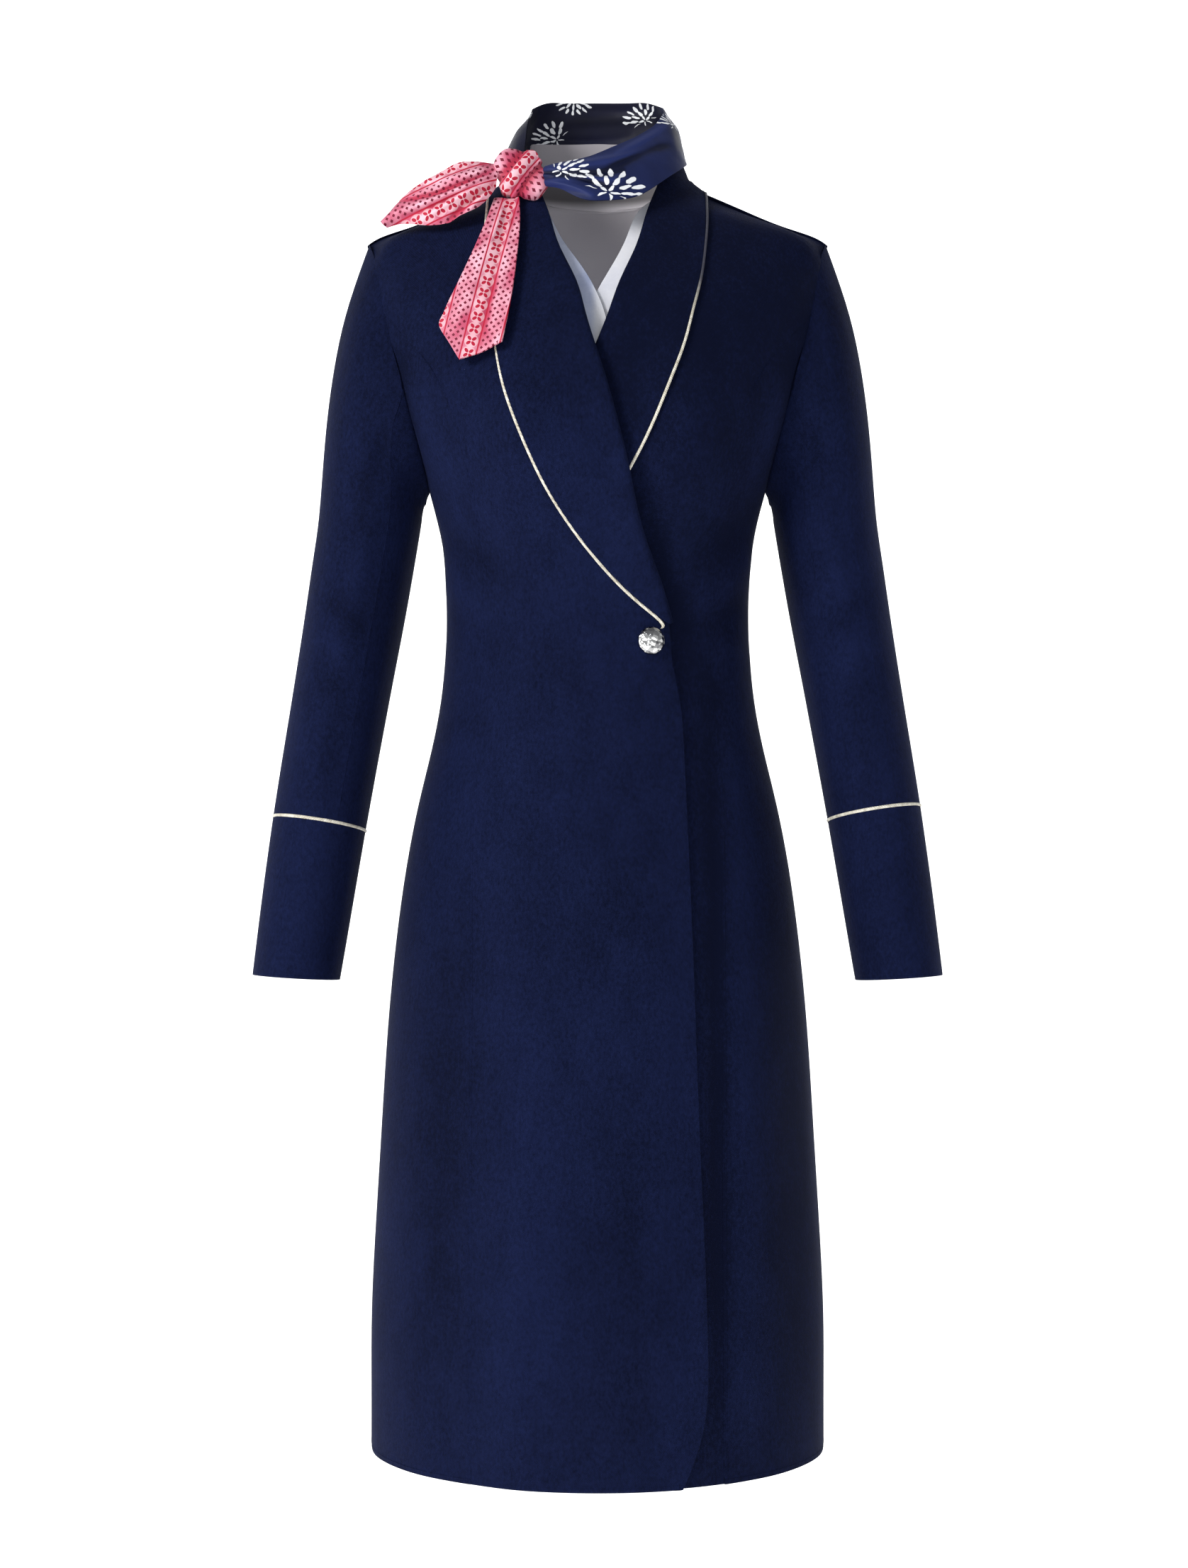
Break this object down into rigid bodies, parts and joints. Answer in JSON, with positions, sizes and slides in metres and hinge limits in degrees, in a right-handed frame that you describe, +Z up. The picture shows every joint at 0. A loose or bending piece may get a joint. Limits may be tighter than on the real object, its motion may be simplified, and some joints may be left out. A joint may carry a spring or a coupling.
{
  "type": "flight attendant uniform",
  "caption": "Navy wrap coat with piped shawl lapels and cuffs, a pale blouse under it and a knotted neck scarf, in its worn shape with no wearer.",
  "frame": {"origin": "middle of the neck, level with the top of the shoulder seams, where the wearer's shoulders hold it", "axes": "+Z up, -Y to the front, +X to the wearer's left"},
  "size_m": [0.5746, 0.3087, 1.1493],
  "materials": {
    "coat": "matt navy wool cloth",
    "piping": "pale cream corded piping",
    "blouse": "smooth pale grey-blue shirting",
    "button": "polished silver dome",
    "scarf_navy": "navy silk with small white flowers",
    "scarf_pink": "rose silk with a small white repeat"
  },
  "bodies": {
    "root": {"coat_back_left": "coat", "coat_back_right": "coat", "coat_front_left_center": "coat", "coat_front_left_side": "coat", "coat_front_right_center": "coat", "coat_front_right_side": "coat", "coat_lapel_left": "coat", "coat_lapel_right": "coat", "sleeve_left_upper": "coat", "sleeve_left_under": "coat", "sleeve_right_upper": "coat", "sleeve_right_under": "coat", "cuff_left": "coat", "cuff_right": "coat", "piping_cuff_left": "piping", "piping_cuff_right": "piping", "piping_lapel_left": "piping", "piping_lapel_right": "piping", "blouse_back": "blouse", "blouse_collar": "blouse", "blouse_front_left": "blouse", "blouse_front_right": "blouse", "button": "button", "scarf_back": "scarf_navy", "scarf_front": "scarf_navy", "scarf_side": "scarf_navy", "scarf_knot": "scarf_pink", "scarf_tail_hanging": "scarf_pink", "scarf_tail_side": "scarf_pink"}
  },
  "joints": []
}
